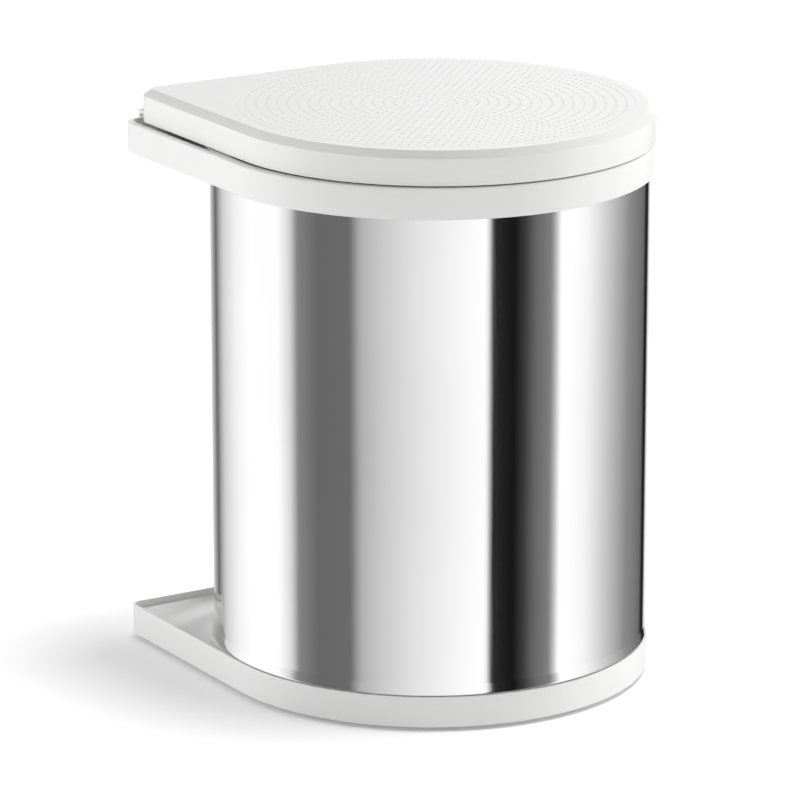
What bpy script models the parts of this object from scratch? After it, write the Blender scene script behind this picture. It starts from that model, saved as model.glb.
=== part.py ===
"""Swing-out cabinet bin: a round steel body between a corner ring and a corner tray.

The bin stands in the corner between a cabinet's door side (-Y) and its side wall (-X). A sheet-steel
bracket on the wall carries two arms, one over the ring and one under the tray, and the bin turns on
their pivots. The lid stays on the bracket: a cam on the ring lifts it as the bin swings out.
Metres, +Z up. The origin is on the floor under the middle of the whole object. Every shape is drawn
around the bin's own upright axis, which stands at BIN_AXIS_X.
"""

import math

import bmesh
import bpy
import numpy as np
from mathutils import Matrix, Vector

MM = 0.001

# Clearances
SEAT = 0.3 * MM  # between two parts that rest on each other
RUN = 0.1 * MM  # round a pin that turns in its bore
PASS = 0.6 * MM  # between a fixed arm and the bin that swings past it
EDGE_BREAK = 0.3 * MM

# The bin's outline and heights
BIN_RADIUS = 131 * MM  # round side of the tray
TOTAL_HEIGHT = 344.3 * MM
WALL_SIDE_EXTRA = 5 * MM  # the flat wall side lies this much outside the round side
WALL_SIDE_FLAT = 20 * MM  # the flat wall side ends this far past the bin's axis

# Base tray
TRAY_HEIGHT = 18.5 * MM
TRAY_CORNER = 6 * MM
TRAY_WALL = 2.2 * MM
TRAY_DECK = 2.5 * MM
TRAY_RECESS = 4 * MM
SPIGOT_HEIGHT = 6 * MM
SPIGOT_WALL = 1.6 * MM

# Steel sleeve
SLEEVE_INSET = 1.4 * MM  # from the tray's round side
SLEEVE_WALL = 0.8 * MM
BEAD_OUT = 1.2 * MM
BEAD_HEIGHT = 2.6 * MM
BEAD_EASE = 0.3  # share of the bead that its round edges take
SLEEVE_GRIP = 12 * MM  # how far the sleeve enters the ring

# Top ring
RING_HEIGHT = 18.5 * MM
RING_OVERHANG = 1.4 * MM  # past the tray's round side
RING_CORNER = 12 * MM
RING_CHAMFER = 2.2 * MM
RING_CHAMFER_KNEE = 0.3  # height of the chamfer's middle edge, as a share below the top
RING_WALL = 2.2 * MM
RING_DECK = 2.5 * MM
RING_TROUGH = 5.5 * MM  # depth of the corner behind the rim
GROOVE_SLACK = 0.4 * MM  # each side of the sleeve
INNER_WALL = 2.2 * MM
LEDGE_WIDTH = 4.7 * MM
LEDGE_DEPTH = 4.5 * MM  # below the ring's top

# Lid
LID_HEIGHT = 20 * MM
LID_GAP = 0.8 * MM
LID_INSET = 5.4 * MM  # the lid's straight sides, inside the ring's
LID_CORNER = 13 * MM
LID_CHAMFER_UP = 4.2 * MM
LID_CHAMFER_IN = 5.1 * MM
LID_FAR_OVERHANG = 0.4 * MM  # how much less the lid reaches than the ring at its far side
LID_WALL = 2.2 * MM
LID_TOP = 2.5 * MM
LID_CORNER_LEAST = 0.5 * MM  # radius left where the corner is moved in
LID_KNEE_DROP = 2 * MM  # inside, from the chamfer's foot down to the straight wall
STRAP_NOTCH_SIDE = 2 * MM  # air beside the strap in the lid's wall
STRAP_NOTCH_TOP = 1.5 * MM

# Bucket
BUCKET_WALL = 1.6 * MM
BUCKET_TAPER = 8.5 * MM  # radius lost from rim to foot
BUCKET_FLOOR_GAP = 7 * MM  # above the tray's deck
BUCKET_RIM = 2 * MM
GRIP_WIDTH = 84 * MM
GRIP_HEIGHT = 18 * MM
GRIP_DROP = 24 * MM  # from the rim to the grip's middle

# Wall bracket
PLATE = 2 * MM
PLATE_AIR = 8 * MM  # between the bin's wall side and the plate
PLATE_LOW_Y = -45 * MM
PLATE_HIGH_Y = 75 * MM
PLATE_TOP_DROP = 10.3 * MM  # below the lid's top
PLATE_CORNER = 6 * MM
WINDOW_CORNER = 12 * MM
WALL_HOLE = 2.75 * MM
WALL_HOLE_EDGE = 11 * MM
WALL_HOLE_LOW = 49 * MM  # height of the lower pair
WALL_HOLE_PITCH = 226 * MM
WINDOW_WIDTH = 60 * MM
WINDOW_HEIGHT = 92 * MM
WINDOW_PITCH = 118 * MM
ARM = 2 * MM
ARM_FLANGE_LOW = 25 * MM
ARM_FLANGE_HIGH = 17 * MM
ARM_END_Y = -5 * MM
STRAP_WIDTH = 12 * MM
STRAP_EYE = 8 * MM
RAIL_WIDTH = 13 * MM
LOWER_EYE = 12 * MM
LOWER_EYE_FROM_DEG = -150
LOWER_EYE_TO_DEG = 40
ARM_SCREW_Y = (-34 * MM, -16 * MM)
LOWER_SCREW_RISE = 13.8 * MM  # above the lower arm's sheet
UPPER_SCREW_DROP = 8.5 * MM  # below the upper arm's sheet
TRAY_LIFT_GAP = PASS

# Pivots, measured from the bin's corner
PIVOT_FROM_WALL_SIDE = 24 * MM
PIVOT_FROM_DOOR_SIDE = 19 * MM
PIN_RADIUS = 4 * MM
PIN_HEAD = 7 * MM
PIN_HEAD_HEIGHT = 2.4 * MM
PIN_HEAD_EDGE = 1.4 * MM  # straight side of the head, below its dome
PIN_HEAD_FACE = 5.25 * MM
PIN_PAST_CLIP = 2 * MM
PIN_CHAMFER_UP = 0.6 * MM
PIN_CHAMFER_IN = 0.8 * MM
BUSH_WALL = 1.5 * MM
BUSH_FLANGE = 8 * MM
BUSH_FLANGE_HEIGHT = 1.5 * MM
BOSS_WALL = 3 * MM
COLLAR_HEIGHT = 1.4 * MM
WASHER = 1.4 * MM
WASHER_RADIUS = 8.4 * MM
CLIP = 1 * MM
CLIP_RADIUS = 7 * MM
CLIP_GROOVE = 0.8 * MM
CLIP_MOUTH_DEG = 40
CLIP_STEPS = 24

# Lift cam and its follower
SWING_DEG = 90
LIFT_DEG = 12
CAM_INNER = 12 * MM
CAM_OUTER = 25 * MM
CAM_FOOT = 2 * MM
CAM_LEAD_DEG = 14  # flat stretch before the follower's place
CAM_TAIL_DEG = 6  # flat stretch after the ramp
CAM_TAB_DEG = 28  # each screw tab, past the flat stretches
CAM_STEPS = 9
CAM_SCREW_PAST = 3 * MM  # how far its screws pass the ring's deck
FOLLOWER_REACH = 18 * MM  # from the pivot
FOLLOWER_RADIUS = 3.5 * MM
FOLLOWER_GAP = 0.4 * MM
FOLLOWER_SIDES = 16
NOSE_STEP_DEG = 18
SOCKET_RADIUS = 7 * MM
SOCKET_DEPTH = 9 * MM

# Lid hinge
HINGE_OUT = 7 * MM  # from the plate's front to the hinge's axis
HINGE_RISE = 6.7 * MM  # from the lid's lower edge to the hinge's axis
HINGE_Y = 34 * MM
HINGE_WIDTH = 44 * MM
HINGE_PIN = 2 * MM
HINGE_PIN_HEAD = 3.2 * MM
HINGE_PIN_HEAD_HEIGHT = 1.2 * MM
HINGE_PIN_PAST = 1 * MM  # past the far ear
BARREL = 4 * MM
EAR = 2 * MM
EAR_GAP = 0.5 * MM
EAR_DROP = 5.5 * MM
EAR_RISE = 5.5 * MM
EAR_FRONT = 4.5 * MM
BRACKET_MARGIN = 3 * MM
BRACKET_HEIGHT = 36 * MM
LEAF = 3 * MM
LEAF_REACH = 39 * MM
LEAF_SIDE = 2 * MM
LID_BOSS = 5 * MM
LID_BOSS_SPREAD = 12 * MM
LID_BOSS_NEAR = 14 * MM  # from the leaf's free end
LID_BOSS_FAR = 6 * MM
LID_SCREW_SHORT = 2 * MM  # below the lid's inside
HINGE_SCREW_SPREAD = 13.2 * MM
HINGE_SCREW_DROP = 19.8 * MM

# Screws
SCREW = 1.6 * MM
SCREW_HEAD = 3.5 * MM
SCREW_HEAD_HEIGHT = 2 * MM
SCREW_DOME = 0.8 * MM
SCREW_FACE = 2.45 * MM
SCREW_TIP = 0.64 * MM
SCREW_SIDES = 12
SCREW_HOLE = SCREW + SEAT

# What follows from the sizes above
WALL_SIDE = BIN_RADIUS + WALL_SIDE_EXTRA
RING_RADIUS = BIN_RADIUS + RING_OVERHANG
SLEEVE_RADIUS = BIN_RADIUS - SLEEVE_INSET
TRAY_BOTTOM = ARM + TRAY_LIFT_GAP
TRAY_TOP = TRAY_BOTTOM + TRAY_HEIGHT
DECK_TOP = TRAY_TOP - TRAY_RECESS
DECK_BOTTOM = DECK_TOP - TRAY_DECK
LID_BOTTOM = TOTAL_HEIGHT - LID_HEIGHT
LID_INSIDE = TOTAL_HEIGHT - LID_TOP
RING_TOP = LID_BOTTOM - LID_GAP
RING_BOTTOM = RING_TOP - RING_HEIGHT
CORNER_TOP = RING_TOP - RING_TROUGH
CORNER_BOTTOM = CORNER_TOP - RING_DECK
SLEEVE_TOP = RING_BOTTOM + SLEEVE_GRIP
LEDGE_TOP = RING_TOP - LEDGE_DEPTH
LEDGE_BOTTOM = LEDGE_TOP - RING_DECK
GROOVE_OUTER = SLEEVE_RADIUS + GROOVE_SLACK
GROOVE_INNER = SLEEVE_RADIUS - SLEEVE_WALL - GROOVE_SLACK
LEDGE_OUTER = GROOVE_INNER - INNER_WALL
LEDGE_INNER = LEDGE_OUTER - LEDGE_WIDTH
LID_SIDE = RING_RADIUS - LID_INSET  # straight sides, from the bin's axis
LID_SHIFT = (RING_RADIUS - LID_FAR_OVERHANG - LID_SIDE) / 2
LID_RADIUS = LID_SIDE + LID_SHIFT
PLATE_FRONT = -(WALL_SIDE + PLATE_AIR)
PLATE_BACK = PLATE_FRONT - PLATE
FLANGE_BACK = PLATE_FRONT + SEAT
FLANGE_FRONT = FLANGE_BACK + ARM
UPPER_ARM_BOTTOM = RING_TOP + PASS
UPPER_ARM_TOP = UPPER_ARM_BOTTOM + ARM
PIVOT = Vector((-(WALL_SIDE - PIVOT_FROM_WALL_SIDE), -(BIN_RADIUS - PIVOT_FROM_DOOR_SIDE), 0))
HINGE = Vector((PLATE_FRONT + HINGE_OUT, HINGE_Y, LID_BOTTOM + HINGE_RISE))
BUSH_RADIUS = PIN_RADIUS + RUN + BUSH_WALL
BOSS_BORE = BUSH_RADIUS + SEAT
BOSS_RADIUS = BOSS_BORE + BOSS_WALL
BIN_AXIS_X = (-PLATE_BACK - RING_RADIUS) / 2

# Outlines as the hull of round discs: x, y, radius. A disc's own straight sides are its tangents.
FLAT_END = 20 * MM  # rounding of that far end


def corner_discs(radius, wall_side, corner):
    """A round side, a square corner at -X -Y, and the far end of the flat wall side."""
    return [
        (0, 0, radius),
        (corner - wall_side, corner - radius, corner),
        (FLAT_END - wall_side, WALL_SIDE_FLAT, FLAT_END),
    ]


TRAY_OUTLINE = corner_discs(BIN_RADIUS, WALL_SIDE, TRAY_CORNER)
RING_OUTLINE = corner_discs(RING_RADIUS, WALL_SIDE, RING_CORNER)
LID_OUTLINE = [
    (LID_SHIFT, LID_SHIFT, LID_RADIUS),
    (LID_CORNER - LID_SIDE, LID_CORNER - LID_SIDE, LID_CORNER),
]

ROUND_STEP_DEG = 6
CORNER_STEP_DEG = 2
CORNER_FROM_DEG = -141
CORNER_TO_DEG = -129
FACING_STEP_DEG = 0.25
LEAST_FACING = 0.01  # a side turned further away than this doesn't bound a ray
TURNED_SIDES = 60
SMALL_SIDES = 20
SHARP_DEG = 30

CORNER_DEGREES = set(range(CORNER_FROM_DEG, CORNER_TO_DEG, CORNER_STEP_DEG))
OUTLINE_ANGLES = np.radians(sorted(set(range(-180, 180, ROUND_STEP_DEG)) | CORNER_DEGREES))
FACING = np.radians(np.arange(-180, 180, FACING_STEP_DEG))


def outline(discs, inset, height):
    """Points at OUTLINE_ANGLES round the hull of the discs, moved in by inset."""
    reach = np.max([x * np.cos(FACING) + y * np.sin(FACING) + r - inset for x, y, r in discs], axis=0)
    points = []
    for angle in OUTLINE_ANGLES:
        towards = np.cos(FACING - angle)
        ahead = towards > LEAST_FACING
        distance = float(np.min(reach[ahead] / towards[ahead]))
        points.append(Vector((distance * math.cos(angle), distance * math.sin(angle), height)))
    return points


def circle(radius, height, centre=(0, 0), sides=TURNED_SIDES):
    """Points round an upright axis at centre."""
    turns = [2 * math.pi * k / sides for k in range(sides)]
    return [
        Vector((centre[0] + radius * math.cos(a), centre[1] + radius * math.sin(a), height)) for a in turns
    ]


def rod(radii_and_heights, centre=(0, 0), sides=SMALL_SIDES):
    """Levels of a turned piece from its foot to its head."""
    return [circle(radius, height, centre, sides) for radius, height in radii_and_heights]


def along(levels, origin, direction):
    """Levels drawn round the Z axis, turned so that +Z points in direction, from origin."""
    turn = Vector((0, 0, 1)).rotation_difference(Vector(direction)).to_matrix().to_4x4()
    placed = Matrix.Translation(Vector(origin)) @ turn
    return [[placed @ point for point in level] for level in levels]


def block(low, high):
    """Levels of a box between two opposite corners."""
    (x0, y0, z0), (x1, y1, z1) = low, high
    corners = ((x0, y0), (x1, y0), (x1, y1), (x0, y1))
    return [[Vector((x, y, z)) for x, y in corners] for z in (z0, z1)]


def slab(points, low, high):
    """Levels of a flat sheet with the outline of points."""
    return [[Vector((x, y, z)) for x, y in points] for z in (low, high)]


def rounded(low, high, corner, steps=5):
    """Outline of a rectangle with round corners."""
    points = []
    for k, (sx, sy) in enumerate(((1, 1), (-1, 1), (-1, -1), (1, -1))):
        cx = high[0] - corner if sx > 0 else low[0] + corner
        cy = high[1] - corner if sy > 0 else low[1] + corner
        for step in range(steps + 1):
            a = math.pi / 2 * (k + step / steps)
            points.append((cx + corner * math.cos(a), cy + corner * math.sin(a)))
    return points


def add_solid(mesh, levels, ring=False):
    """One closed solid through the levels: capped at both ends, or closed back on itself."""
    rows = [[mesh.verts.new(point) for point in level] for level in levels]
    count = len(rows[0])
    last = len(rows) if ring else len(rows) - 1
    for row in range(last):
        low, high = rows[row], rows[(row + 1) % len(rows)]
        for k in range(count):
            mesh.faces.new((low[k], low[(k + 1) % count], high[(k + 1) % count], high[k]))
    if not ring:
        mesh.faces.new(rows[0][::-1])
        mesh.faces.new(rows[-1])


def finish(name, colour, roughness, metallic=0.0):
    """A plain Principled material."""
    material = bpy.data.materials.new(name)
    material.use_nodes = True
    shader = material.node_tree.nodes["Principled BSDF"]
    shader.inputs["Base Color"].default_value = (*colour, 1)
    shader.inputs["Roughness"].default_value = roughness
    shader.inputs["Metallic"].default_value = metallic
    return material


def piece(name, levels, parent, material=None, ring=False):
    """A named object through its levels, drawn round the bin's axis and hung on parent."""
    mesh = bmesh.new()
    add_solid(mesh, levels, ring)
    bmesh.ops.recalc_face_normals(mesh, faces=mesh.faces)
    data = bpy.data.meshes.new(name)
    mesh.to_mesh(data)
    mesh.free()
    data.shade_smooth()
    data.set_sharp_from_angle(angle=math.radians(SHARP_DEG))
    made = bpy.data.objects.new(name, data)
    bpy.context.scene.collection.objects.link(made)
    made.parent = parent
    made.location = Vector((BIN_AXIS_X, 0, 0)) - parent.location
    if material:
        data.materials.append(material)
    return made


def combine(target, levels, operation, ring=False):
    """A Boolean on target with a hidden guide through the levels."""
    name = f"{target.name}_{operation.lower()}_{len(target.modifiers)}"
    guide = piece(name, levels, target.parent, ring=ring)
    guide.hide_render = True
    guide.display_type = "WIRE"
    modifier = target.modifiers.new(operation.title(), "BOOLEAN")
    modifier.operation = operation
    modifier.solver = "EXACT"
    modifier.object = guide
    return guide


def cut(target, levels, ring=False):
    return combine(target, levels, "DIFFERENCE", ring)


def join(target, levels, ring=False):
    return combine(target, levels, "UNION", ring)


def frame(name, location):
    """An empty that carries the pieces of one moving group."""
    made = bpy.data.objects.new(name, None)
    made.location = location
    bpy.context.scene.collection.objects.link(made)
    return made


PAST = 5 * MM  # how far a cutter runs past the face it opens


def corner_area(discs, inset, round_radius, low, high, guide_of):
    """Cut the corner area between the round middle and the rim out of guide_of."""
    area = cut(guide_of, [outline(discs, inset, low), outline(discs, inset, high)])
    cut(area, rod(((round_radius, low - PAST), (round_radius, high + PAST)), sides=TURNED_SIDES))
    return area


def base_tray(parent, material):
    """Corner tray: rim, recessed deck, round seat and spigot for the sleeve, pivot boss below."""
    levels = [
        outline(TRAY_OUTLINE, 0, TRAY_BOTTOM),
        outline(TRAY_OUTLINE, 0, TRAY_TOP - EDGE_BREAK),
        outline(TRAY_OUTLINE, EDGE_BREAK, TRAY_TOP),
    ]
    tray = piece("base_tray", levels, parent, material)
    seat_inner = SLEEVE_RADIUS - SLEEVE_WALL - SEAT - SPIGOT_WALL
    corner_area(TRAY_OUTLINE, TRAY_WALL, BIN_RADIUS + SEAT, DECK_TOP, TRAY_TOP + PAST, tray)
    cut(tray, rod(((seat_inner, DECK_TOP), (seat_inner, TRAY_TOP + PAST)), sides=TURNED_SIDES))
    hollow = cut(
        tray,
        [outline(TRAY_OUTLINE, TRAY_WALL, z) for z in (TRAY_BOTTOM - PAST, DECK_BOTTOM)],
    )
    boss_foot = TRAY_BOTTOM + COLLAR_HEIGHT + WASHER + 2 * SEAT
    cut(hollow, rod(((BOSS_RADIUS, boss_foot), (BOSS_RADIUS, DECK_TOP)), PIVOT))
    cut(tray, rod(((BOSS_BORE, TRAY_BOTTOM - PAST), (BOSS_BORE, DECK_BOTTOM)), PIVOT))
    spigot = SLEEVE_RADIUS - SLEEVE_WALL - SEAT
    join(
        tray,
        [
            circle(spigot - SPIGOT_WALL, DECK_TOP - SEAT),
            circle(spigot, DECK_TOP - SEAT),
            circle(spigot, TRAY_TOP + SPIGOT_HEIGHT),
            circle(spigot - SPIGOT_WALL, TRAY_TOP + SPIGOT_HEIGHT),
        ],
        ring=True,
    )


def steel_sleeve(parent, material):
    """Polished sleeve with a bead rolled outwards at its foot."""
    foot = TRAY_TOP + SEAT
    inner = SLEEVE_RADIUS - SLEEVE_WALL
    profile = (
        (inner, foot),
        (SLEEVE_RADIUS + BEAD_OUT * (1 - BEAD_EASE), foot),
        (SLEEVE_RADIUS + BEAD_OUT, foot + BEAD_HEIGHT * BEAD_EASE),
        (SLEEVE_RADIUS + BEAD_OUT, foot + BEAD_HEIGHT * (1 - BEAD_EASE)),
        (SLEEVE_RADIUS, foot + BEAD_HEIGHT),
        (SLEEVE_RADIUS, SLEEVE_TOP),
        (inner, SLEEVE_TOP),
    )
    piece("steel_sleeve", rod(profile, sides=TURNED_SIDES), parent, material, ring=True)


def top_ring(parent, material):
    """Corner ring: groove for the sleeve, ledge for the bucket, trough and pivot boss in the corner."""
    levels = [
        outline(RING_OUTLINE, 0, RING_BOTTOM),
        outline(RING_OUTLINE, 0, RING_TOP - RING_CHAMFER),
        outline(RING_OUTLINE, RING_CHAMFER / 2, RING_TOP - RING_CHAMFER * RING_CHAMFER_KNEE),
        outline(RING_OUTLINE, RING_CHAMFER, RING_TOP),
    ]
    ring = piece("top_ring", levels, parent, material)
    opening = (
        (LEDGE_OUTER, RING_BOTTOM - PAST),
        (LEDGE_OUTER, LEDGE_BOTTOM),
        (LEDGE_INNER, LEDGE_BOTTOM),
        (LEDGE_INNER, LEDGE_TOP),
        (LEDGE_OUTER, LEDGE_TOP),
        (LEDGE_OUTER, RING_TOP + PAST),
    )
    cut(ring, rod(opening, sides=TURNED_SIDES))
    groove = (
        (GROOVE_INNER, RING_BOTTOM - PAST),
        (GROOVE_OUTER, RING_BOTTOM - PAST),
        (GROOVE_OUTER, SLEEVE_TOP + SEAT),
        (GROOVE_INNER, SLEEVE_TOP + SEAT),
    )
    cut(ring, rod(groove, sides=TURNED_SIDES), ring=True)
    round_wall = GROOVE_OUTER + RING_WALL
    trough_inset = RING_CHAMFER + RING_WALL / 2
    corner_area(RING_OUTLINE, trough_inset, round_wall, CORNER_TOP, RING_TOP + PAST, ring)
    hollow = corner_area(RING_OUTLINE, RING_WALL, round_wall, RING_BOTTOM - PAST, CORNER_BOTTOM, ring)
    cut(hollow, rod(((BOSS_RADIUS, RING_BOTTOM), (BOSS_RADIUS, CORNER_TOP)), PIVOT))
    cut(ring, rod(((BOSS_BORE, RING_BOTTOM - PAST), (BOSS_BORE, CORNER_TOP + PAST)), PIVOT))
    for hole in cam_screw_places():
        cut(ring, rod(((SCREW_HOLE, CORNER_BOTTOM - PAST), (SCREW_HOLE, CORNER_TOP + PAST)), hole))


def inner_bucket(parent, material):
    """Tapered plastic bucket that hangs by its rim on the ring's ledge, with two hand holes."""
    rim_low = LEDGE_TOP + SEAT
    rim_high = rim_low + BUCKET_RIM
    top = LEDGE_INNER - 2 * SEAT
    foot = top - BUCKET_TAPER
    floor = DECK_TOP + BUCKET_FLOOR_GAP
    rim = LEDGE_OUTER - 2 * SEAT
    profile = (
        (foot - BUCKET_WALL, floor),
        (foot, floor + BUCKET_WALL),
        (top, rim_low),
        (rim, rim_low),
        (rim, rim_high),
        (top - BUCKET_WALL, rim_high),
        (foot - BUCKET_WALL, floor + 2 * BUCKET_WALL),
        (foot - 2 * BUCKET_WALL, floor + BUCKET_WALL),
    )
    bucket = piece("inner_bucket", rod(profile, sides=TURNED_SIDES), parent, material)
    middle = rim_low - GRIP_DROP
    low = (-GRIP_HEIGHT / 2, -GRIP_WIDTH / 2)
    high = (GRIP_HEIGHT / 2, GRIP_WIDTH / 2)
    hand_hole = rounded(low, high, GRIP_HEIGHT / 2 - SEAT)
    reach = 2 * (top + PAST)
    through = along(slab(hand_hole, 0, reach), (top + PAST, 0, middle), (-1, 0, 0))
    cut(bucket, through)


def cam_screw_places():
    """Two screws through the cam's foot, under its low start and beside its high end."""
    radius = (CAM_INNER + CAM_OUTER) / 2
    places = []
    for degrees in (-CAM_LEAD_DEG - CAM_TAB_DEG / 2, SWING_DEG + CAM_TAIL_DEG + CAM_TAB_DEG / 2):
        a = math.radians(degrees)
        places.append((PIVOT.x + radius * math.cos(a), PIVOT.y + radius * math.sin(a)))
    return places


def follower_height(lift_deg):
    """Height of the follower's tip when the lid has turned by lift_deg."""
    tip_x = PIVOT.x + FOLLOWER_REACH - HINGE.x
    tip_z = CORNER_TOP + SEAT + CAM_FOOT + FOLLOWER_GAP - HINGE.z
    a = math.radians(lift_deg)
    return HINGE.z + tip_x * math.sin(a) + tip_z * math.cos(a)


def lift_cam(parent, material):
    """Ramp round the pivot, as high at each angle as the follower must be lifted."""
    foot = CORNER_TOP + SEAT
    rise = follower_height(LIFT_DEG) - follower_height(0)
    start = -CAM_LEAD_DEG - CAM_TAB_DEG
    end = SWING_DEG + CAM_TAIL_DEG + CAM_TAB_DEG
    levels = []
    edges = (
        (start, 0),
        (-CAM_LEAD_DEG, 0),
        (0, 0),
        *((SWING_DEG * k / CAM_STEPS, k / CAM_STEPS) for k in range(1, CAM_STEPS + 1)),
        (SWING_DEG + CAM_TAIL_DEG, 1),
        (SWING_DEG + CAM_TAIL_DEG + 1, 0),
        (end, 0),
    )
    for degrees, share in edges:
        a = math.radians(degrees)
        towards = Vector((math.cos(a), math.sin(a), 0))
        top = foot + CAM_FOOT + rise * share
        section = ((CAM_INNER, foot), (CAM_OUTER, foot), (CAM_OUTER, top), (CAM_INNER, top))
        levels.append([PIVOT + towards * r + Vector((0, 0, z)) for r, z in section])
    cam = piece("lift_cam", levels, parent, material)
    for hole in cam_screw_places():
        cut(cam, rod(((SCREW_HOLE, foot - PAST), (SCREW_HOLE, foot + CAM_FOOT + PAST)), hole))


def screw(length):
    """Pan-head screw, its head's underside at zero and its shank along +Z."""
    profile = (
        (SCREW_FACE, -SCREW_HEAD_HEIGHT),
        (SCREW_HEAD, SCREW_DOME - SCREW_HEAD_HEIGHT),
        (SCREW_HEAD, 0),
        (SCREW, 0),
        (SCREW, length - SCREW),
        (SCREW_TIP, length),
    )
    return rod(profile, sides=SCREW_SIDES)


def screws(name, placed, parent, material):
    """One numbered screw for each placed set of levels."""
    for number, levels in enumerate(placed, 1):
        piece(f"{name}_{number}", levels, parent, material)


def cam_screws(parent, material):
    length = CAM_FOOT + RING_DECK + 2 * SEAT + CAM_SCREW_PAST
    height = CORNER_TOP + 2 * SEAT + CAM_FOOT
    placed = [along(screw(length), (x, y, height), (0, 0, -1)) for x, y in cam_screw_places()]
    screws("cam_screw", placed, parent, material)


def upper_bush(parent, material):
    """Flanged bush in the ring's boss."""
    profile = (
        (PIN_RADIUS + RUN, RING_BOTTOM),
        (BUSH_RADIUS, RING_BOTTOM),
        (BUSH_RADIUS, CORNER_TOP + SEAT),
        (BUSH_FLANGE, CORNER_TOP + SEAT),
        (BUSH_FLANGE, CORNER_TOP + SEAT + BUSH_FLANGE_HEIGHT),
        (PIN_RADIUS + RUN, CORNER_TOP + SEAT + BUSH_FLANGE_HEIGHT),
    )
    piece("upper_bush", rod(profile, PIVOT), parent, material, ring=True)


def lower_bush(parent, material):
    """Plain bush in the tray's blind boss."""
    low = TRAY_BOTTOM + COLLAR_HEIGHT + WASHER + 2 * SEAT
    high = DECK_BOTTOM - SEAT
    inner = PIN_RADIUS + RUN
    profile = ((inner, low), (BUSH_RADIUS, low), (BUSH_RADIUS, high), (inner, high))
    piece("lower_bush", rod(profile, PIVOT), parent, material, ring=True)


def screw_rows():
    """Heights and places along the wall of the screws that hold each arm."""
    heights = (ARM + LOWER_SCREW_RISE, UPPER_ARM_BOTTOM - UPPER_SCREW_DROP)
    return [(y, z) for z in heights for y in ARM_SCREW_Y]


def hinge_screw_spots():
    return [(HINGE_Y + side * HINGE_SCREW_SPREAD, HINGE.z - HINGE_SCREW_DROP) for side in (-1, 1)]


def across(levels_of, x, y, z):
    """A turned piece laid along the X axis towards the wall."""
    return along(levels_of, (x, y, z), (-1, 0, 0))


def wall_plate(parent, material):
    """Sheet-steel plate on the cabinet's wall, with two windows and four fixing holes."""
    top = TOTAL_HEIGHT - PLATE_TOP_DROP
    middle_y = (PLATE_LOW_Y + PLATE_HIGH_Y) / 2
    middle_z = top / 2
    low = (-middle_z, PLATE_LOW_Y - middle_y)
    high = (middle_z, PLATE_HIGH_Y - middle_y)
    sheet = slab(rounded(low, high, PLATE_CORNER), 0, PLATE)
    plate = piece("wall_plate", across(sheet, PLATE_FRONT, middle_y, middle_z), parent, material)
    reach = PLATE + 2 * PAST
    start = PLATE_FRONT + PAST
    for side in (-1, 1):
        half = (WINDOW_HEIGHT / 2, WINDOW_WIDTH / 2)
        window = slab(rounded((-half[0], -half[1]), half, WINDOW_CORNER), 0, reach)
        cut(plate, across(window, start, middle_y, middle_z + side * WINDOW_PITCH / 2))
    for y in (PLATE_LOW_Y + WALL_HOLE_EDGE, PLATE_HIGH_Y - WALL_HOLE_EDGE):
        for z in (WALL_HOLE_LOW, WALL_HOLE_LOW + WALL_HOLE_PITCH):
            cut(plate, across(rod(((WALL_HOLE, 0), (WALL_HOLE, reach))), start, y, z))
    for y, z in screw_rows() + hinge_screw_spots():
        cut(plate, across(rod(((SCREW_HOLE, 0), (SCREW_HOLE, reach))), start, y, z))


def arm_holes(arm, spots, eye_low, eye_high):
    reach = ARM + 2 * PAST
    for y, z in spots:
        cut(arm, across(rod(((SCREW_HOLE, 0), (SCREW_HOLE, reach))), FLANGE_FRONT + PAST, y, z))
    hole = PIN_RADIUS + SEAT
    cut(arm, rod(((hole, eye_low), (hole, eye_high)), PIVOT))


def eye_arc(radius, from_deg, to_deg, steps=12):
    """Points round the pivot."""
    turns = [math.radians(from_deg + (to_deg - from_deg) * k / steps) for k in range(steps + 1)]
    return [(PIVOT.x + radius * math.cos(a), PIVOT.y + radius * math.sin(a)) for a in turns]


def upper_arm(parent, material):
    """Strap from the pivot to the wall, a rail along it, and a flange folded down onto the plate."""
    strap_low = PIVOT.y + STRAP_EYE - STRAP_WIDTH
    strap_high = PIVOT.y + STRAP_EYE
    rail = FLANGE_BACK + RAIL_WIDTH
    low_edge = math.degrees(math.asin((strap_low - PIVOT.y) / STRAP_EYE))
    points = [
        *eye_arc(STRAP_EYE, -180 - low_edge, 90),
        (rail, strap_high),
        (rail, ARM_END_Y),
        (FLANGE_BACK, ARM_END_Y),
        (FLANGE_BACK, strap_low),
    ]
    arm = piece("upper_arm", slab(points, UPPER_ARM_BOTTOM, UPPER_ARM_TOP), parent, material)
    low = (FLANGE_BACK, strap_low, UPPER_ARM_BOTTOM - ARM_FLANGE_HIGH)
    join(arm, block(low, (FLANGE_FRONT, ARM_END_Y, UPPER_ARM_TOP - ARM / 4)))
    arm_holes(arm, screw_rows()[2:], UPPER_ARM_BOTTOM - PAST, UPPER_ARM_TOP + PAST)


def lower_arm(parent, material):
    """Gusset under the tray from the pivot to the wall, with a flange folded up onto the plate."""
    points = [
        *eye_arc(LOWER_EYE, LOWER_EYE_FROM_DEG, LOWER_EYE_TO_DEG),
        (PIVOT.x + LOWER_EYE, PIVOT.y + LOWER_EYE),
        (FLANGE_FRONT + RAIL_WIDTH, ARM_END_Y),
        (FLANGE_BACK, ARM_END_Y),
        (FLANGE_BACK, PLATE_LOW_Y),
    ]
    arm = piece("lower_arm", slab(points, 0, ARM), parent, material)
    join(
        arm,
        block((FLANGE_BACK, PLATE_LOW_Y, ARM / 4), (FLANGE_FRONT, ARM_END_Y, ARM_FLANGE_LOW)),
    )
    arm_holes(arm, screw_rows()[:2], -PAST, ARM + PAST)


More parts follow.
